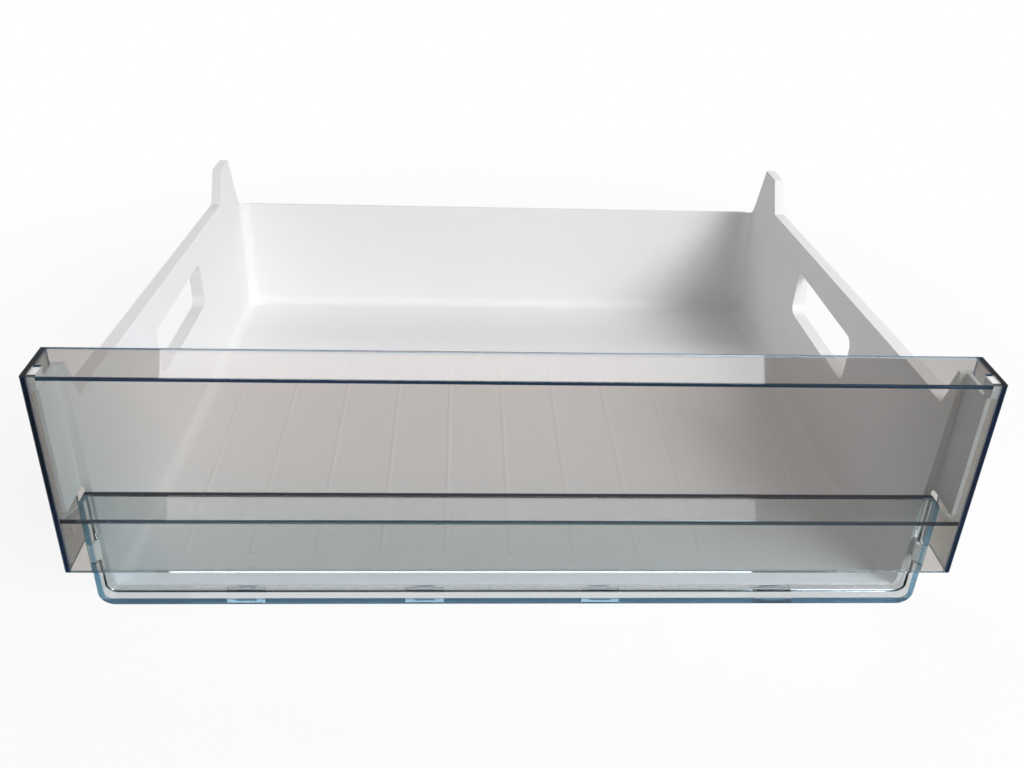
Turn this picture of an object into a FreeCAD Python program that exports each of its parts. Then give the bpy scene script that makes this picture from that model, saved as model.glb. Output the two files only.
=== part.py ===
import FreeCAD, Part
import math
import os

# Freezer drawer: a white tub with a two-piece clear front.
# Millimetres, +Z up, front towards -Y. The origin is at the bottom centre of the drawer.
# The functions below measure Y back from the face of the front plate.

V = FreeCAD.Vector

# Overall sizes
front_width = 456.0
overall_depth = 394.0
clear_wall = 2.5
fit_gap = 0.3

# Outer clear front
plate_bottom = 36.8
plate_height = 113.3
ledge_depth = 29.0
return_corner_radius = 1.5
tab_hole_width = 4.2
tab_hole_length = 9.0
tab_hole_setback = 2.6

# Inner clear front
lip_height = 32.2
panel_inset = 3.2
recess_lip = 5.8
rim_inset = 6.5
rim_wall = 3.0
rim_bottom_wall = 4.2
rim_corner_radius = 8.0
recess_cove = 2.0
ledge_end_inset = 5.2
ledge_end_taper = 9.5

# Snap windows in the rim and the tub's hooks
bottom_window_width = 21.0
bottom_window_pitch = 96.8
bottom_window_count = 4
bottom_window_setback = 7.0
bottom_window_roof = 1.4
catch_ridge_length = 1.0
catch_ridge_drop = 0.9
bottom_hook_width = 11.0
side_window_bottom = 28.0
side_window_height = 12.6
side_window_setback = 1.4
side_hook_clearance = 0.8
side_hook_thickness = 1.8
side_hook_barb = 1.6

# Tub walls
floor_thickness = 2.6
side_wall = 2.4
back_wall = 2.4
front_flange_height = 5.8
front_lip_rise = 1.8
side_taper = 1.48
side_draft = 1.6
back_draft = 3.0
floor_fillet = 7.0
plan_corner_radius = 9.0

# Top edge of the side walls, measured down from the ears
ear_drop = 11.1
side_drop = 20.8
side_fall = 10.2
back_drop = 20.3
flange_thickness = 2.2
flange_reach_front = 6.0
flange_reach_rear = 4.2

# Upright ears and cheeks that carry the outer clear front
ear_thickness = 2.6
ear_heel_length = 8.0
cheek_thickness = 2.2
cheek_front_gap = 5.3
tab_height = 7.1
tab_sink = 1.0

# Rear horns
horn_rise = 22.3
horn_lean = 14.5
horn_top_length = 22.5
horn_rear_angle = 70.0
horn_rear_fillet = 8.0
horn_rear_gap = 1.4
stop_length = 46.0
stop_bulge = 2.0
stop_height = 3.2
stop_drop = 1.2

# Hand holes
hand_hole_setback = 155.5
hand_hole_length = 106.0
hand_hole_drop = 15.5
hand_hole_height = 31.5
hand_hole_radius = 7.0
collar_reach = 8.5
collar_wall = 2.2

# Floor ridges
ridge_count = 11
ridge_pitch = 37.2
ridge_width = 4.0
ridge_height = 0.4
ridge_setback = 60.0
ridge_rear_gap = 108.0

# Places across the drawer, worked out from the sizes
half_width = front_width / 2
return_inner = half_width - clear_wall
rim_half_width = half_width - rim_inset
rim_inner_half = rim_half_width - rim_wall
floor_half_width = rim_half_width - front_flange_height
cheek_outer = return_inner - fit_gap
cheek_inner = cheek_outer - cheek_thickness

# Places along the drawer, back from the face of the front plate
panel_rear = ledge_depth - panel_inset
panel_front = panel_rear - clear_wall
rim_front = panel_front - recess_lip
side_window_front = rim_front + side_window_setback
bottom_window_front = rim_front + bottom_window_setback
catch_front = ledge_depth - catch_ridge_length
tub_front = ledge_depth + fit_gap
ear_rear = tub_front + ear_thickness
cheek_front = clear_wall + cheek_front_gap
tab_front = tab_hole_setback + fit_gap
tab_rear = tab_hole_setback + tab_hole_length - fit_gap
back_inner_top = overall_depth - back_wall

# Heights
front_top = plate_bottom + plate_height
bottom_window_top = rim_bottom_wall - bottom_window_roof
catch_bottom = bottom_window_top - catch_ridge_drop
grip_ledge_top = plate_bottom + lip_height
grip_ledge_bottom = grip_ledge_top - clear_wall
ear_bottom = grip_ledge_top + fit_gap
ear_height = front_top - ear_drop
side_height_front = ear_height - side_drop
side_height_rear = side_height_front - side_fall
back_height = side_height_rear - back_drop
horn_height = side_height_rear + horn_rise
hand_hole_top = side_height_rear - hand_hole_drop
hand_hole_bottom = hand_hole_top - hand_hole_height
tab_top = front_top - tab_sink
tab_bottom = tab_top - tab_height

# Horn outline, worked out forwards from the back wall
rear_angle = math.radians(horn_rear_angle)
horn_fillet_reach = horn_rear_fillet * math.tan(rear_angle / 2)
horn_fillet_end = overall_depth - horn_rear_gap
horn_slope_foot = horn_fillet_end - horn_fillet_reach
horn_rear = horn_slope_foot - (horn_height - back_height) / math.tan(rear_angle)
horn_front = horn_rear - horn_top_length
horn_foot = horn_front - horn_lean

# Slopes of the walls, room around the whole drawer, and limits that pick out edges
taper_slope = math.tan(math.radians(side_taper))
draft_slope = math.tan(math.radians(side_draft))
back_slope = math.tan(math.radians(back_draft))
room = 10.0
overrun = 1.0
nearly = 0.01
upright_steepness = 5.0
model_top = max(front_top, horn_height) + room
model_half = half_width + room


def box(x0, x1, y0, y1, z0, z1):
    return Part.makeBox(x1 - x0, y1 - y0, z1 - z0, V(x0, y0, z0))


def prism(points, direction):
    """Solid swept along a direction from a closed outline of points."""
    wire = Part.makePolygon(points + [points[0]])
    return Part.Face(wire).extrude(direction)


def mirrored(shape):
    """The same shape on the other side of the middle."""
    return shape.mirror(V(0, 0, 0), V(1, 0, 0))


def both_sides(shape):
    return [shape, mirrored(shape)]


def upright_edges(shape, test):
    """Edges that run straight up and whose middle passes the test."""
    picked = []
    for edge in shape.Edges:
        start, end = edge.Vertexes[0].Point, edge.Vertexes[-1].Point
        level = math.hypot(start.x - end.x, start.y - end.y)
        if abs(start.z - end.z) > upright_steepness * level and test(edge.CenterOfMass):
            picked.append(edge)
    return picked


def rim_block(half, bottom, top, radius, y0, y1):
    """Block across the drawer with its two bottom corners rounded, as the rim has them."""
    block = box(-half, half, y0, y1, bottom, top)
    low_limit = bottom + radius
    low = [e for e in block.Edges if e.BoundBox.YLength > (y1 - y0) / 2 and e.BoundBox.ZMax < low_limit]
    return block.makeFillet(radius, low)


def inner_half_at(y, z):
    """Half width of the tub's inside at a place along it and a height."""
    return floor_half_width - (y - tub_front) * taper_slope + (z - floor_thickness) * draft_slope


def back_inner_at(z):
    """Where the back wall's inner face is at a height."""
    return back_inner_top - (back_height - z) * back_slope


def tapered_block(side_offset, back_offset, z0, z1, front):
    """Block with the tub's taper and draft, each wall moved outwards by its offset."""
    rings = []
    for z in (z0, z1):
        rear = back_inner_at(z) + back_offset
        x_front = inner_half_at(front, z) + side_offset
        x_rear = inner_half_at(rear, z) + side_offset
        corners = [V(-x_front, front, z), V(x_front, front, z), V(x_rear, rear, z), V(-x_rear, rear, z)]
        rings.append(Part.makePolygon(corners + [corners[0]]))
    return Part.makeLoft(rings, True, True)


def rounded_block(side_offset, back_offset, z0, front, corner, bottom):
    """Tapered block with rounded rear corners and a rounded bottom edge at the sides and back."""
    block = tapered_block(side_offset, back_offset, z0, model_top, front)
    block = block.makeFillet(corner, upright_edges(block, lambda c: c.y > overall_depth / 2))
    low = [e for e in block.Edges if e.BoundBox.ZMax < z0 + nearly and e.BoundBox.YMax > front + overrun]
    return block.makeFillet(bottom, low)


def arc(start, centre, radius, middle_angle, end):
    """Arc in the side view from one point to another, through the angle given in degrees from +Y."""
    angle = math.radians(middle_angle)
    middle = centre + V(0, math.cos(angle), math.sin(angle)) * radius
    return Part.Arc(start, middle, end).toShape()


def side_outline():
    """Outline of the drawer seen from the side: ear, its heel, sloping top edge, horn and back wall."""
    slope = (side_height_rear - side_height_front) / (horn_foot - ear_rear)
    heel = V(0, ear_rear + ear_heel_length, side_height_front + slope * ear_heel_length)
    fillet_end = V(0, horn_fillet_end, back_height)
    fillet_centre = fillet_end + V(0, 0, horn_rear_fillet)
    fillet_start = V(0, horn_slope_foot, back_height) + V(0, -math.cos(rear_angle),
                                                          math.sin(rear_angle)) * horn_fillet_reach
    ear = Part.makePolygon([V(0, tub_front, 0), V(0, tub_front, ear_height), V(0, ear_rear, ear_height),
                            heel])
    horn = Part.makePolygon([heel, V(0, horn_foot, side_height_rear), V(0, horn_front, horn_height),
                             V(0, horn_rear, horn_height), fillet_start])
    fillet = arc(fillet_start, fillet_centre, horn_rear_fillet, 270 - horn_rear_angle / 2, fillet_end)
    past_back = overall_depth + room
    close = Part.makePolygon([fillet_end, V(0, past_back, back_height), V(0, past_back, 0),
                              V(0, tub_front, 0)])
    edges = [edge for piece in (ear, horn, fillet, close) for edge in piece.Edges]
    return Part.Face(Part.Wire(Part.__sortEdges__(edges)))


def outline_prism(face, half):
    """The side outline swept across the drawer to both sides."""
    return face.translated(V(-half, 0, 0)).extrude(V(2 * half, 0, 0))


def flange_block():
    """Space that the flange along the side walls' top edges may take, as far as its outer edge."""
    rings = []
    rear = overall_depth
    for z in (0, model_top):
        x_front = inner_half_at(tub_front, side_height_front) + side_wall + flange_reach_front
        x_rear = inner_half_at(rear, side_height_rear) + side_wall + flange_reach_rear
        corners = [V(-x_front, tub_front, z), V(x_front, tub_front, z), V(x_rear, rear, z),
                   V(-x_rear, rear, z)]
        rings.append(Part.makePolygon(corners + [corners[0]]))
    block = Part.makeLoft(rings, True, True)
    corner = plan_corner_radius + side_wall + flange_reach_rear
    return block.makeFillet(corner, upright_edges(block, lambda c: c.y > overall_depth / 2))


def top_flange(outline, core):
    """Flange that follows the whole top edge of each side wall, horn and rear slope included."""
    inner = outline.makeOffset2D(-flange_thickness)
    band = outline.cut(inner)
    ring = outline_prism(band, model_half).common(flange_block())
    lowest = back_height - flange_thickness
    keep = box(-model_half, model_half, tub_front, overall_depth, lowest, model_top)
    middle = box(-floor_half_width + plan_corner_radius, floor_half_width - plan_corner_radius,
                 0, overall_depth + overrun, 0, back_height + overrun)
    below_heel = box(-model_half, model_half, 0, ear_rear, 0, model_top)
    return ring.common(keep).cut(middle).cut(below_heel).cut(core)


def hand_hole_prism(side_grow, x0, x1):
    """Rounded opening of a hand hole, grown by a wall, from one X to another."""
    y0 = hand_hole_setback - side_grow
    y1 = hand_hole_setback + hand_hole_length + side_grow
    block = box(x0, x1, y0, y1, hand_hole_bottom - side_grow, hand_hole_top + side_grow)
    along = [e for e in block.Edges if e.BoundBox.XLength > (x1 - x0) / 2]
    return block.makeFillet(hand_hole_radius + side_grow, along)


def hand_hole_collar():
    """Collar round a hand hole on the outside of the right wall."""
    ring = hand_hole_prism(collar_wall, 0, model_half)
    reach = tapered_block(collar_reach, back_wall, 0, model_top, tub_front)
    return ring.common(reach)


def ear_and_cheek():
    """Right ear behind the side return, with the cheek that reaches forward inside the return."""
    ear = box(floor_half_width, half_width, tub_front, ear_rear, ear_bottom, ear_height)
    cheek = box(cheek_inner, cheek_outer, cheek_front, ear_rear, ear_bottom, ear_height)
    tab_inner = return_inner - tab_hole_width + fit_gap
    tab = box(tab_inner, cheek_outer, tab_front, tab_rear, tab_bottom, tab_top)
    arm = box(cheek_inner, cheek_outer, cheek_front, tab_rear, ear_bottom, tab_top)
    return ear.fuse([cheek, tab, arm])


def front_flange():
    """Low upright flange round the tub's front edge that the rim of the clear front seats on."""
    return rim_block(rim_half_width, 0, ear_bottom, rim_corner_radius, tub_front, ear_rear)


def front_lip():
    """Lip that stands a little above the floor along its front edge."""
    top = floor_thickness + front_lip_rise
    return box(-floor_half_width, floor_half_width, tub_front, ear_rear, 0, top)


def stop_bulge_solid():
    """Bulge under the right flange in front of the horn, which stops the drawer in its rail."""
    start = horn_foot - stop_length
    edge_start = inner_half_at(start, side_height_rear) + side_wall + flange_reach_rear
    edge_end = inner_half_at(horn_foot, side_height_rear) + side_wall + flange_reach_rear
    top = side_height_rear - stop_drop
    inside = inner_half_at(horn_foot, top) + side_wall / 2
    points = [V(inside, start, top), V(edge_start - stop_bulge, start, top),
              V(edge_end + stop_bulge, horn_foot - stop_length / 4, top),
              V(edge_end + stop_bulge / 2, horn_foot + stop_bulge, top),
              V(inside, horn_foot + stop_bulge, top)]
    return prism(points, V(0, 0, -stop_height))


def bottom_window_centres():
    first = -(bottom_window_count - 1) / 2 * bottom_window_pitch
    return [first + i * bottom_window_pitch for i in range(bottom_window_count)]


def bottom_hook():
    """Hook at the middle of the front edge, its barb turned up behind the window's catch ridge."""
    half = bottom_hook_width / 2
    low = fit_gap
    arm_top = catch_bottom - fit_gap
    barb_top = bottom_window_top - fit_gap
    tip = bottom_window_front + fit_gap
    barb_rear = catch_front - fit_gap
    crest = (tip + barb_rear) / 2
    root = tub_front + ear_thickness / 2
    points = [V(-half, tip, low), V(-half, root, low), V(-half, root, arm_top),
              V(-half, barb_rear, arm_top), V(-half, barb_rear, barb_top), V(-half, crest, barb_top),
              V(-half, tip, (low + arm_top) / 2)]
    return prism(points, V(bottom_hook_width, 0, 0))


def side_hook():
    """Hook that reaches forward through the right side of the rim, its barb turned inwards."""
    half = side_window_height / 2 - side_hook_clearance
    outer = rim_half_width - (rim_wall - side_hook_thickness) / 2
    inner = outer - side_hook_thickness
    barb = rim_inner_half - side_hook_barb
    tip = side_window_front + fit_gap
    barb_rear = panel_front - fit_gap
    root = tub_front + ear_thickness / 2
    points = [V(outer, tip, -half), V(outer, root, -half), V(inner, root, -half), V(inner, barb_rear, -half),
              V(barb, barb_rear, -half), V(barb, barb_rear - side_hook_barb, -half),
              V((outer + inner) / 2, tip, -half)]
    return prism(points, V(0, 0, 2 * half)).translated(V(0, 0, side_window_bottom + side_window_height / 2))


def snap_hooks():
    """Four hooks along the bottom of the front flange and one at each side."""
    bottom = bottom_hook()
    hooks = [bottom.translated(V(centre, 0, 0)) for centre in bottom_window_centres()]
    return hooks + both_sides(side_hook())


def floor_ridges():
    """Low rounded ridges that run along the floor."""
    ridges = []
    radius = (ridge_width * ridge_width / 4 + ridge_height * ridge_height) / (2 * ridge_height)
    length = back_inner_at(floor_thickness) - ridge_rear_gap - ridge_setback
    for i in range(ridge_count):
        x = (i - (ridge_count - 1) / 2) * ridge_pitch
        base = V(x, ridge_setback, floor_thickness + ridge_height - radius)
        bar = Part.makeCylinder(radius, length, base, V(0, 1, 0))
        keep = box(x - ridge_width, x + ridge_width, 0, overall_depth, floor_thickness / 2, model_top)
        ridges.append(bar.common(keep))
    return ridges


def drawer_tub():
    """White moulding: floor, walls, flanges, horns, ears, hooks and hand holes."""
    core = rounded_block(0, 0, floor_thickness, 0, plan_corner_radius, floor_fillet)
    outer = rounded_block(side_wall, back_wall, 0, tub_front, plan_corner_radius + side_wall,
                          floor_fillet + side_wall)
    outline = side_outline()
    shell = outer.common(outline_prism(outline, model_half))
    parts = [top_flange(outline, core), front_flange()]
    for right in (hand_hole_collar(), ear_and_cheek(), stop_bulge_solid()):
        parts.extend(both_sides(right))
    body = shell.fuse(parts).cut(core)
    body = body.fuse(snap_hooks() + floor_ridges() + [front_lip()])
    for hole in both_sides(hand_hole_prism(0, floor_half_width / 2, model_half)):
        body = body.cut(hole)
    return body.removeSplitter()


def front_fascia():
    """Outer clear moulding: front plate with its lip, top ledge and side returns."""
    block = box(-half_width, half_width, 0, ledge_depth, plate_bottom, front_top)
    block = block.makeFillet(return_corner_radius, upright_edges(block, lambda c: c.y < clear_wall))
    hollow = box(-return_inner, return_inner, clear_wall, ledge_depth + room, plate_bottom - room,
                 front_top - clear_wall)
    fascia = block.cut(hollow)
    hole = box(return_inner - tab_hole_width, return_inner, tab_hole_setback,
               tab_hole_setback + tab_hole_length, tab_bottom, front_top + room)
    for each in both_sides(hole):
        fascia = fascia.cut(each)
    return fascia


def grip_ledge():
    """Lower ledge, with ends drawn in behind its front corners."""
    front = clear_wall + fit_gap
    wide = return_inner - fit_gap
    narrow = return_inner - ledge_end_inset
    bend = front + ledge_end_taper
    points = [V(-wide, front, grip_ledge_bottom), V(wide, front, grip_ledge_bottom),
              V(narrow, bend, grip_ledge_bottom), V(narrow, panel_rear, grip_ledge_bottom),
              V(-narrow, panel_rear, grip_ledge_bottom), V(-narrow, bend, grip_ledge_bottom)]
    return prism(points, V(0, 0, clear_wall))


def bottom_window(centre):
    """Pocket cut up into the rim's bottom wall, with a catch ridge left under its roof at the back."""
    half = bottom_window_width / 2
    pocket = box(centre - half, centre + half, bottom_window_front, catch_front, -room, bottom_window_top)
    mouth = box(centre - half, centre + half, bottom_window_front, ledge_depth + room, -room, catch_bottom)
    return pocket.fuse(mouth)


def side_window():
    """Window through the right side of the rim, cut into the cove as far as the panel."""
    top = side_window_bottom + side_window_height
    outside = rim_half_width + room
    cove_inner = rim_inner_half - recess_cove
    through = box(rim_inner_half, outside, side_window_front, ledge_depth + room, side_window_bottom, top)
    cove = box(cove_inner, outside, side_window_front, panel_front, side_window_bottom, top)
    return through.fuse(cove)


def panel_recess():
    """Space in front of the panel, rounded where the panel meets the rim."""
    space = rim_block(rim_inner_half, rim_bottom_wall, grip_ledge_bottom, rim_corner_radius - rim_wall,
                      rim_front - room, panel_front)
    below_top = grip_ledge_bottom - recess_cove
    rear = [e for e in space.Edges if e.BoundBox.YMin > rim_front and e.CenterOfMass.z < below_top]
    return space.makeFillet(recess_cove, rear)


def grip_panel():
    """Inner clear moulding: ledge, recessed panel and the rim round it with its snap windows."""
    rim = rim_block(rim_half_width, 0, grip_ledge_bottom, rim_corner_radius, rim_front, ledge_depth)
    behind = rim_block(rim_inner_half, rim_bottom_wall, grip_ledge_bottom, rim_corner_radius - rim_wall,
                       panel_rear, ledge_depth + room)
    rim = rim.cut(panel_recess()).cut(behind)
    for centre in bottom_window_centres():
        rim = rim.cut(bottom_window(centre))
    for side in both_sides(side_window()):
        rim = rim.cut(side)
    return rim.fuse(grip_ledge()).removeSplitter()


def export(name, shape):
    placed = shape.translated(V(0, -overall_depth / 2, 0))
    placed.exportStep("parts/" + name + ".step")
    limits = placed.BoundBox
    print(name, placed.isValid(), len(placed.Solids), round(placed.Volume), limits)


os.makedirs("parts", exist_ok=True)
export("drawer_tub", drawer_tub())
export("front_fascia", front_fascia())
export("grip_panel", grip_panel())
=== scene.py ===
from math import cos, radians, sin

import bpy
from bpy.props import FloatProperty, FloatVectorProperty, PointerProperty
from mathutils import Matrix, Vector


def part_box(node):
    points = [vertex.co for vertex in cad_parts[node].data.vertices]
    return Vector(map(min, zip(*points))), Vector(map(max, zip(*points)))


bl_info = {
    "name": "Freezer drawer",
    "version": (1, 0, 0),
    "blender": (4, 5, 0),
    "location": "3D View > Sidebar > Drawer",
    "description": "Finishes the white tub and the clear front of a freezer drawer and lights them",
    "category": "Object",
}

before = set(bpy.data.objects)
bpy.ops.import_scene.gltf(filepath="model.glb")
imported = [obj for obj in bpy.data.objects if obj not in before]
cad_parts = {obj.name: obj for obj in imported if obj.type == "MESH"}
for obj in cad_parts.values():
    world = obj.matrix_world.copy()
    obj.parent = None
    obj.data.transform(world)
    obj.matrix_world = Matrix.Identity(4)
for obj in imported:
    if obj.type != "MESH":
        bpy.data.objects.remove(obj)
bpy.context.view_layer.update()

MM = 0.001
WHITE = (1.0, 1.0, 1.0, 1.0)

TUB = "drawer_tub"
FASCIA = "front_fascia"
PANEL = "grip_panel"

# Forms of the clear front that its colours follow
CLEAR_WALL = 2.5 * MM
RIM_SETBACK = 17.5 * MM
RIM_SIDE_INSET = 9.5 * MM
RIM_BOTTOM_WALL = 4.2 * MM
PANEL_SETBACK = 23.3 * MM
LEDGE_REACH = 2.4 * MM

# Depth of a surface colour
SKIN = 0.4 * MM

# Distances from the middle and heights above the floor at which the painted shade, near the fascia's ends
# and low in the grip recess, is full or gone
SIDE_SHADE_FULL = 222.0 * MM
SIDE_SHADE_GONE = 170.0 * MM
RECESS_SHADE_FULL = 16.0 * MM
RECESS_SHADE_GONE = 22.0 * MM

# Scales of the noise that marks the surfaces
FLOW_MARKS = 9.0
RIPPLES = 60.0
GRAIN = 1400.0
SMEARS = 7.0
WIPE_MARKS = 220.0
DUST = 40.0

# How strongly the marks show
FLOW_SHADE = 0.965
GLOSS_BELOW = 0.06
GLOSS_ABOVE = 0.1
SMEAR_SHADE = (0.96, 0.965, 0.96, 1.0)
POLISH_LOW = 0.008
POLISH_HIGH = 0.06
DUST_LOW = 0.79
DUST_HIGH = 0.81

# Shine of the clear plastic, and its tint on the light of the lamps
BODY_SHINE = (0.25, 0.27, 0.32, 1.0)
END_SHINE = (0.05, 0.06, 0.09, 1.0)
END_DULLNESS = 0.5
LAMP_TINT = (0.95, 0.96, 0.96, 1.0)

# Joined faces and rounded edges
WELD_DISTANCE = 0.001 * MM
FLAT_ANGLE = radians(0.5)
SHARP_ANGLE = radians(35.0)
BEVEL_SEGMENTS = 2

# Floor, with the distances from its middle between which the shadow fades
FLOOR_DROP = 0.1 * MM
SHADOW_START = 0.25
SHADOW_END = 0.7
SHADOW_GLOW = 0.85

# World, with heights as the Z of a direction
HORIZON = 0.1
OVERHEAD = 0.4
OVERHEAD_WHITE = 0.3
SKY_COLOUR = (1.0, 0.96, 0.95, 1.0)
SKY_STRENGTH = 0.3

# Width of the camera's sensor in millimetres
SENSOR_WIDTH = 36.0


# Sizes and colours

class TubSettings(bpy.types.PropertyGroup):
    """The white moulded tub."""

    colour: FloatVectorProperty(
        name="Plastic colour", description="Linear colour of the white plastic",
        subtype="COLOR", size=3, min=0.0, max=1.0, default=(0.83, 0.83, 0.835))
    edge_radius: FloatProperty(
        name="Edge radius", description="Rounding that the mould leaves on the outer edges",
        subtype="DISTANCE", unit="LENGTH", min=0.0, default=0.45 * MM)
    roughness: FloatProperty(
        name="Roughness", description="Roughness of the satin surface",
        subtype="FACTOR", min=0.0, max=1.0, default=0.52)


class ClearSettings(bpy.types.PropertyGroup):
    """The clear fascia and the clear grip panel."""

    fascia_tint: FloatVectorProperty(
        name="Fascia tint",
        description="Share of light that one pass through the fascia lets through",
        subtype="COLOR", size=3, min=0.0, max=1.0, default=(0.83, 0.70, 0.64))
    # Painted shade: the fascia's tint is darker and warmer near both ends
    painted_side_shade: FloatVectorProperty(
        name="Side tint",
        description="Share of light that one pass lets through near the fascia's ends",
        subtype="COLOR", size=3, min=0.0, max=1.0, default=(0.70, 0.60, 0.54))
    panel_tint: FloatVectorProperty(
        name="Panel tint",
        description="Share of light that one pass through the grip panel lets through",
        subtype="COLOR", size=3, min=0.0, max=1.0, default=(0.985, 0.96, 0.94))
    edge_tint: FloatVectorProperty(
        name="Edge tint", description="Colour of the walls' narrow ends, where the tint gathers",
        subtype="COLOR", size=3, min=0.0, max=1.0, default=(0.012, 0.075, 0.22))
    line_tint: FloatVectorProperty(
        name="Line tint", description="Colour of the walls' tops, which look down their full height",
        subtype="COLOR", size=3, min=0.0, max=1.0, default=(0.0008, 0.004, 0.016))
    # Painted shade: the grip panel's tint is darker and warmer low in the grip recess
    painted_recess_shade: FloatVectorProperty(
        name="Foot tint",
        description="Share of light that one pass lets through low in the grip recess",
        subtype="COLOR", size=3, min=0.0, max=1.0, default=(0.80, 0.75, 0.73))
    rear_tint: FloatVectorProperty(
        name="Rear edge tint", description="Colour of the fascia's top ledge at its rear edge",
        subtype="COLOR", size=3, min=0.0, max=1.0, default=(0.12, 0.13, 0.14))
    lip_tint: FloatVectorProperty(
        name="Lip tint", description="Colour of the plate's lower end and the grip ledge's front end",
        subtype="COLOR", size=3, min=0.0, max=1.0, default=(0.30, 0.36, 0.39))
    rim_tint: FloatVectorProperty(
        name="Rim tint", description="Colour of the thick rim under the grip panel",
        subtype="COLOR", size=3, min=0.0, max=1.0, default=(0.05, 0.125, 0.205))
    rim_side_tint: FloatVectorProperty(
        name="Rim side tint", description="Colour of the rim's upright sides",
        subtype="COLOR", size=3, min=0.0, max=1.0, default=(0.22, 0.45, 0.6))
    depth_colour: FloatVectorProperty(
        name="Depth colour", description="Colour that the plastic takes along a long path",
        subtype="COLOR", size=3, min=0.0, max=1.0, default=(0.1, 0.42, 0.55))
    fascia_density: FloatProperty(
        name="Fascia density", description="Absorption of the fascia's plastic for each metre",
        min=0.0, default=110.0)
    panel_density: FloatProperty(
        name="Panel density", description="Absorption of the grip panel's plastic for each metre",
        min=0.0, default=50.0)
    edge_radius: FloatProperty(
        name="Edge radius", description="Rounding that the mould leaves on the clear edges",
        subtype="DISTANCE", unit="LENGTH", min=0.0, default=0.3 * MM)
    refraction: FloatProperty(
        name="Refraction", description="Index of refraction of the clear plastic",
        min=1.0, max=2.0, default=1.57)


class StageSettings(bpy.types.PropertyGroup):
    """Floor, lamps and camera."""

    floor_reach: FloatProperty(
        name="Floor reach", description="Half the width of the white floor",
        subtype="DISTANCE", unit="LENGTH", min=1.0, default=6.0)
    main_power: FloatProperty(
        name="Main lamp power", description="Power of the lamp at the front right",
        unit="POWER", min=0.0, default=32.6)
    soft_box_power: FloatProperty(
        name="Soft box power", description="Power of the lamp behind the drawer",
        unit="POWER", min=0.0, default=7.6)
    focal_length: FloatProperty(
        name="Focal length", description="Lens of the camera in millimetres",
        unit="CAMERA", min=1.0, default=36.236)
    camera_place: FloatVectorProperty(
        name="Camera place", description="Where the camera stands",
        subtype="TRANSLATION", unit="LENGTH", size=3, default=(-0.02947, -0.60603, 0.38628))
    camera_pitch: FloatProperty(
        name="Camera pitch", description="How far the camera looks down",
        subtype="ANGLE", unit="ROTATION", default=radians(30.080))
    camera_yaw: FloatProperty(
        name="Camera yaw", description="How far the camera turns to the left",
        subtype="ANGLE", unit="ROTATION", default=radians(-3.275))
    camera_roll: FloatProperty(
        name="Camera roll", description="How far the camera tilts about its line of sight",
        subtype="ANGLE", unit="ROTATION", default=radians(-2.162))


# Node helpers

class Nodes:
    """A node tree of a material or a world, with short calls to add and join nodes."""

    def __init__(self, owner):
        owner.use_nodes = True
        self.tree = owner.node_tree
        self.tree.nodes.clear()

    def add(self, kind, inputs=None, **settings):
        """Adds a node, makes its settings and feeds its inputs."""
        node = self.tree.nodes.new("ShaderNode" + kind)
        for name, value in settings.items():
            setattr(node, name, value)
        for name, value in (inputs or {}).items():
            self.feed(node.inputs[name], value)
        return node

    def feed(self, socket, value):
        """Links a socket to another one, or sets its own value."""
        if isinstance(value, bpy.types.NodeSocket):
            self.tree.links.new(value, socket)
        else:
            socket.default_value = value

    def math(self, operation, first, second=0.0):
        node = self.add("Math", operation=operation)
        self.feed(node.inputs[0], first)
        self.feed(node.inputs[1], second)
        return node.outputs[0]

    def noise(self, vector, scale, detail):
        node = self.add("TexNoise", {"Vector": vector, "Scale": scale, "Detail": detail})
        return node.outputs["Fac"]

    def span(self, value, low, high, start=0.0, end=1.0):
        """Goes from low to high as the value runs from start to end."""
        node = self.add("MapRange", {"Value": value, "From Min": start, "From Max": end,
                                     "To Min": low, "To Max": high})
        return node.outputs["Result"]

    def mix(self, share, first, second, blend="MIX"):
        """Mixes two colours. The sockets go by number, because this node has their names twice."""
        node = self.add("Mix", data_type="RGBA", blend_type=blend)
        self.feed(node.inputs[0], share)
        self.feed(node.inputs[6], first)
        self.feed(node.inputs[7], second)
        return node.outputs[2]

    def mix_shader(self, share, first, second):
        node = self.add("MixShader", {"Fac": share})
        self.feed(node.inputs[1], first)
        self.feed(node.inputs[2], second)
        return node.outputs["Shader"]

    def finish(self, surface, volume=None):
        output = self.add("OutputMaterial", {"Surface": surface})
        if volume is not None:
            self.feed(output.inputs["Volume"], volume)


def rgba(colour, share=1.0):
    """The colour, dimmed to a share, with the fourth value that a socket takes."""
    return (colour[0] * share, colour[1] * share, colour[2] * share, 1.0)


# Materials

def moulded_white(settings):
    """Satin white polystyrene: faint flow marks, fine grain, uneven gloss."""
    material = bpy.data.materials.new("moulded_white")
    n = Nodes(material)
    place = n.add("TexCoord").outputs["Object"]
    flow = n.add("Mapping", {"Vector": place, "Scale": (1.0, 0.25, 1.0)}).outputs["Vector"]
    broad = n.noise(flow, FLOW_MARKS, 2.0)
    grain = n.noise(place, GRAIN, 2.0)
    ripple = n.noise(flow, RIPPLES, 3.0)
    shade = n.mix(n.span(broad, 0.0, 1.0), rgba(settings.colour, FLOW_SHADE), rgba(settings.colour))
    gloss = n.span(n.math("ADD", broad, ripple),
                   settings.roughness - GLOSS_BELOW, settings.roughness + GLOSS_ABOVE)
    fine = n.add("Bump", {"Height": grain, "Strength": 0.06, "Distance": 0.05 * MM})
    wave = n.add("Bump", {"Height": ripple, "Strength": 0.10, "Distance": 0.35 * MM,
                          "Normal": fine.outputs["Normal"]})
    shader = n.add("BsdfPrincipled", {
        "Base Color": shade, "Roughness": gloss, "IOR": 1.53,
        "Normal": wave.outputs["Normal"], "Subsurface Weight": 0.12,
        "Subsurface Radius": (1.0, 0.95, 0.9), "Subsurface Scale": 1.5 * MM})
    n.finish(shader.outputs["BSDF"])
    return material


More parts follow.
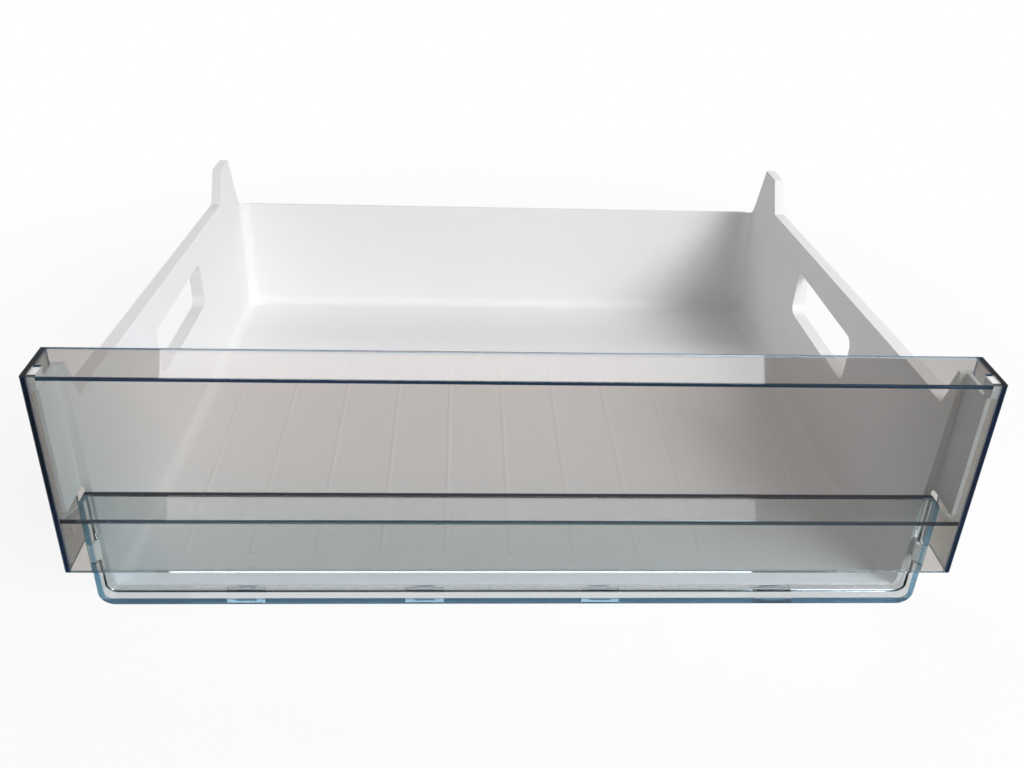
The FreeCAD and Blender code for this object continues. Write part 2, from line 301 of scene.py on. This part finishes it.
def within(n, axes, limits):
    """Mask of what lies inside every limit: an axis, where the mask starts on it and where it is full."""
    mask = 1.0
    for axis, start, full in limits:
        mask = n.math("MINIMUM", mask, n.span(axes[axis], 0.0, 1.0, start, full))
    return mask


def tinted_clear(name, settings, painted_side_shade, tint, density, zones, ends, shift):
    """Clear tinted plastic that lets the lamps through to the tub.

    Zones and ends are lists of a colour and the limits that it lies within. Ends are narrow ends
    of the walls, where the tint gathers, and they are also duller. The shift moves the smears.
    """
    material = bpy.data.materials.new(name)
    n = Nodes(material)
    place = n.add("TexCoord").outputs["Object"]
    axes = n.add("SeparateXYZ", {"Vector": place}).outputs
    moved = n.add("Mapping", {"Vector": place, "Location": (shift, shift, shift)}).outputs["Vector"]
    smear = n.noise(moved, SMEARS, 3.0)
    wipe = n.noise(moved, WIPE_MARKS, 2.0)
    from_middle = n.math("ABSOLUTE", axes["X"])
    # Painted shade: the tint darkens and warms from the middle towards both ends
    in_middle = n.span(from_middle, 0.0, 1.0, SIDE_SHADE_FULL, SIDE_SHADE_GONE)
    across = n.mix(in_middle, rgba(painted_side_shade), rgba(tint))
    shade = n.mix(n.span(smear, 0.0, 1.0), across, SMEAR_SHADE, "MULTIPLY")
    for colour, limits in zones:
        shade = n.mix(within(n, axes, limits), shade, rgba(colour))
    dark = 0.0
    for colour, limits in ends:
        mask = within(n, axes, limits)
        dark = n.math("MAXIMUM", dark, mask)
        shade = n.mix(mask, shade, rgba(colour))
    shine = n.mix(dark, BODY_SHINE, END_SHINE)
    polish = n.span(n.math("MULTIPLY", smear, wipe), POLISH_LOW, POLISH_HIGH)
    gloss = n.math("ADD", polish, n.math("MULTIPLY", dark, END_DULLNESS))
    clear = n.add("BsdfPrincipled", {
        "Base Color": shade, "Roughness": gloss, "IOR": settings.refraction,
        "Transmission Weight": 1.0, "Specular Tint": shine})
    through = n.add("BsdfTransparent", {"Color": LAMP_TINT})
    shadow_ray = n.add("LightPath").outputs["Is Shadow Ray"]
    surface = n.mix_shader(shadow_ray, clear.outputs["BSDF"], through.outputs["BSDF"])
    depth = n.add("VolumeAbsorption", {"Color": rgba(settings.depth_colour), "Density": density})
    n.finish(surface, depth.outputs["Volume"])
    return material


def clear_fascia(settings):
    """The outer moulding, dark at its rear edges, its front corners and the tops of its sides, with
    painted shade near both ends.
    """
    (left, front, bottom), (right, rear, top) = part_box(FASCIA)
    on_front = ("Y", front + SKIN, front + 0.5 * SKIN)
    on_rear = ("Y", rear - 2.0 * SKIN, rear - SKIN)
    on_foot = ("Z", bottom + 2.0 * SKIN, bottom + SKIN)
    on_top = ("Z", top - SKIN, top - 0.5 * SKIN)
    by_left = ("X", left + 2.0 * CLEAR_WALL, left + CLEAR_WALL)
    by_right = ("X", right - 2.0 * CLEAR_WALL, right - CLEAR_WALL)
    zones = [(settings.lip_tint, [on_foot])]
    ends = [(settings.edge_tint, [on_front, by_left]), (settings.edge_tint, [on_front, by_right]),
            (settings.line_tint, [on_top, by_left]), (settings.line_tint, [on_top, by_right]),
            (settings.edge_tint, [on_rear]), (settings.rear_tint, [on_rear, on_top])]
    return tinted_clear("clear_fascia", settings, settings.painted_side_shade, settings.fascia_tint,
                        settings.fascia_density, zones, ends, 0.0)


def clear_panel(settings):
    """The inner moulding, with a blue rim, a dark line along the rear of its ledge and painted shade low
    in the grip recess.
    """
    (left, front, _), (right, _, _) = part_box(FASCIA)
    ledge_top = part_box(PANEL)[1][2]
    ledge_front = front + CLEAR_WALL
    ledge_bottom = ledge_top - LEDGE_REACH
    panel_front = front + PANEL_SETBACK
    rim_front = front + RIM_SETBACK
    rim_left = left + RIM_SIDE_INSET
    rim_right = right - RIM_SIDE_INSET
    # Painted shade low in the grip recess
    low = ("Z", RECESS_SHADE_GONE, RECESS_SHADE_FULL)
    on_nose = ("Y", ledge_front + 2.0 * SKIN, ledge_front + SKIN)
    on_top = ("Z", ledge_top - SKIN, ledge_top - 0.5 * SKIN)
    below_ledge = ("Z", ledge_bottom, ledge_bottom - SKIN)
    by_rear = ("Y", panel_front - SKIN, panel_front)
    on_rim = ("Y", rim_front + 2.0 * SKIN, rim_front + SKIN)
    on_rim_bottom = ("Z", RIM_BOTTOM_WALL - 0.25 * SKIN, RIM_BOTTOM_WALL - SKIN)
    by_left = ("X", rim_left + SKIN, rim_left)
    by_right = ("X", rim_right - SKIN, rim_right)
    zones = [(settings.painted_recess_shade, [low]), (settings.lip_tint, [on_nose]),
             (settings.rim_side_tint, [on_rim, below_ledge, by_right]),
             (settings.rim_side_tint, [on_rim, below_ledge, by_left]),
             (settings.rim_tint, [on_rim, on_rim_bottom])]
    ends = [(settings.line_tint, [on_top, by_rear])]
    return tinted_clear("clear_panel", settings, settings.panel_tint, settings.panel_tint,
                        settings.panel_density, zones, ends, 1.0)


def white_ground():
    """White floor that looks white to the camera and keeps a soft shadow near the drawer."""
    material = bpy.data.materials.new("white_ground")
    n = Nodes(material)
    place = n.add("TexCoord").outputs["Object"]
    distance = n.add("VectorMath", {0: place}, operation="LENGTH").outputs["Value"]
    far = n.span(distance, SHADOW_GLOW, 1.0, SHADOW_START, SHADOW_END)
    matt = n.add("BsdfDiffuse", {"Color": n.span(n.noise(place, DUST, 3.0), DUST_LOW, DUST_HIGH)})
    glow = n.add("Emission", {"Color": WHITE, "Strength": 1.0})
    path = n.add("LightPath")
    seen = n.math("MAXIMUM", path.outputs["Is Camera Ray"], path.outputs["Is Glossy Ray"])
    seen = n.math("MAXIMUM", seen, path.outputs["Is Transmission Ray"])
    white_share = n.math("MULTIPLY", seen, far)
    n.finish(n.mix_shader(white_share, matt.outputs["BSDF"], glow.outputs["Emission"]))
    return material


# Pieces

def soften(node, radius):
    """Joins the node's faces and rounds its edges with modifiers, its mesh untouched."""
    weld = node.modifiers.new("join", "WELD")
    weld.merge_threshold = WELD_DISTANCE
    flat = node.modifiers.new("flat_faces", "DECIMATE")
    flat.decimate_type = "DISSOLVE"
    flat.angle_limit = FLAT_ANGLE
    bevel = node.modifiers.new("rounded_edges", "BEVEL")
    bevel.width = radius
    bevel.segments = BEVEL_SEGMENTS
    bevel.limit_method = "ANGLE"
    bevel.angle_limit = SHARP_ANGLE
    bevel.use_clamp_overlap = True
    normals = node.modifiers.new("even_shading", "WEIGHTED_NORMAL")
    normals.keep_sharp = False


def dress(node_name, material, radius):
    """Gives a node its material and its rounded edges."""
    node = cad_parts[node_name]
    if not node.material_slots:
        raise RuntimeError("No material slot on " + node_name)
    for slot in node.material_slots:
        slot.material = material
    soften(node, radius)


class DRAWER_OT_tub(bpy.types.Operator):
    """Finishes the white tub"""

    bl_idname = "drawer.tub"
    bl_label = "White tub"

    def execute(self, context):
        settings = context.scene.drawer_tub
        dress(TUB, moulded_white(settings), settings.edge_radius)
        return {"FINISHED"}


class DRAWER_OT_clear_front(bpy.types.Operator):
    """Finishes the clear fascia and the clear grip panel"""

    bl_idname = "drawer.clear_front"
    bl_label = "Clear front"

    def execute(self, context):
        settings = context.scene.drawer_clear
        fascia = clear_fascia(settings)
        panel = clear_panel(settings)
        dress(FASCIA, fascia, settings.edge_radius)
        dress(PANEL, panel, settings.edge_radius)
        return {"FINISHED"}


# Stage

def add_floor(settings):
    """A large flat floor just under the drawer."""
    reach = settings.floor_reach
    mesh = bpy.data.meshes.new("floor")
    corners = [(-reach, -reach, 0.0), (reach, -reach, 0.0), (reach, reach, 0.0), (-reach, reach, 0.0)]
    mesh.from_pydata(corners, [], [(0, 1, 2, 3)])
    mesh.materials.append(white_ground())
    floor = bpy.data.objects.new("floor", mesh)
    floor.location.z = -FLOOR_DROP
    bpy.context.scene.collection.objects.link(floor)


def add_lamp(name, power, place, aim, size, colour):
    """A rectangular lamp that the camera doesn't see."""
    data = bpy.data.lights.new(name, "AREA")
    data.shape = "RECTANGLE"
    data.size, data.size_y = size
    data.energy = power
    data.color = colour
    lamp = bpy.data.objects.new(name, data)
    lamp.location = place
    lamp.rotation_euler = (Vector(aim) - Vector(place)).to_track_quat("-Z", "Y").to_euler()
    lamp.visible_camera = False
    bpy.context.scene.collection.objects.link(lamp)


def add_lamps(settings):
    """The main lamp at the front right and a soft box behind the drawer."""
    add_lamp("main_lamp", settings.main_power, place=(1.114, -1.114, 1.231), aim=(0.0, 0.0, 0.05),
             size=(1.0, 0.8), colour=(0.985, 0.99, 1.0))
    add_lamp("soft_box", settings.soft_box_power, place=(-0.015, 1.4, 1.2), aim=(0.0, -0.19, 0.12),
             size=(1.4, 0.6), colour=(1.0, 1.0, 1.0))


def studio_world():
    """A soft dim light. The camera sees it white, and so do reflections, but less so overhead."""
    world = bpy.data.worlds.new("studio")
    n = Nodes(world)
    path = n.add("LightPath")
    mirrored = n.math("MAXIMUM", path.outputs["Is Glossy Ray"], path.outputs["Is Transmission Ray"])
    direction = n.add("TexCoord").outputs["Generated"]
    height = n.add("SeparateXYZ", {"Vector": direction}).outputs["Z"]
    by_height = n.span(height, 1.0, OVERHEAD_WHITE, HORIZON, OVERHEAD)
    white_share = n.math("MAXIMUM", path.outputs["Is Camera Ray"],
                         n.math("MULTIPLY", mirrored, by_height))
    soft = n.add("Background", {"Color": SKY_COLOUR, "Strength": SKY_STRENGTH})
    white = n.add("Background", {"Color": WHITE, "Strength": 1.0})
    sky = n.mix_shader(white_share, soft.outputs["Background"], white.outputs["Background"])
    n.add("OutputWorld", {"Surface": sky})
    return world


def camera_matrix(settings):
    """The camera's matrix from its place, pitch, yaw and roll."""
    pitch = settings.camera_pitch
    turn = Matrix.Rotation(settings.camera_yaw, 3, "Z")
    right = turn @ Vector((1.0, 0.0, 0.0))
    ahead = turn @ Vector((0.0, cos(pitch), -sin(pitch)))
    down = turn @ Vector((0.0, -sin(pitch), -cos(pitch)))
    roll_cos = cos(settings.camera_roll)
    roll_sin = sin(settings.camera_roll)
    side = right * roll_cos + down * roll_sin
    drop = down * roll_cos - right * roll_sin
    axes = Matrix((side, -drop, -ahead)).transposed()
    return Matrix.Translation(settings.camera_place) @ axes.to_4x4()


def add_camera(settings):
    """The camera, which the scene then uses."""
    data = bpy.data.cameras.new("camera")
    data.sensor_width = SENSOR_WIDTH
    data.lens = settings.focal_length
    camera = bpy.data.objects.new("camera", data)
    camera.matrix_world = camera_matrix(settings)
    bpy.context.scene.collection.objects.link(camera)
    bpy.context.scene.camera = camera


class DRAWER_OT_stage(bpy.types.Operator):
    """Adds the white floor, the lamps, the world and the camera"""

    bl_idname = "drawer.stage"
    bl_label = "Stage"

    def execute(self, context):
        scene = context.scene
        settings = scene.drawer_stage
        add_floor(settings)
        add_lamps(settings)
        scene.world = studio_world()
        add_camera(settings)
        scene.view_settings.view_transform = "Standard"
        return {"FINISHED"}


class DRAWER_PT_panel(bpy.types.Panel):
    """Lists the steps that finish the drawer"""

    bl_idname = "DRAWER_PT_panel"
    bl_label = "Freezer drawer"
    bl_space_type = "VIEW_3D"
    bl_region_type = "UI"
    bl_category = "Drawer"

    def draw(self, context):
        layout = self.layout
        for step in STEPS:
            layout.operator(step.bl_idname)


STEPS = (DRAWER_OT_tub, DRAWER_OT_clear_front, DRAWER_OT_stage)
GROUPS = (("drawer_tub", TubSettings), ("drawer_clear", ClearSettings), ("drawer_stage", StageSettings))


def register():
    for name, group in GROUPS:
        bpy.utils.register_class(group)
        setattr(bpy.types.Scene, name, PointerProperty(type=group))
    for step in STEPS:
        bpy.utils.register_class(step)
    bpy.utils.register_class(DRAWER_PT_panel)


def unregister():
    bpy.utils.unregister_class(DRAWER_PT_panel)
    for step in reversed(STEPS):
        bpy.utils.unregister_class(step)
    for name, group in reversed(GROUPS):
        delattr(bpy.types.Scene, name)
        bpy.utils.unregister_class(group)


def main():
    register()
    bpy.ops.drawer.tub()
    bpy.ops.drawer.clear_front()
    bpy.ops.drawer.stage()


if __name__ == "__main__":
    main()
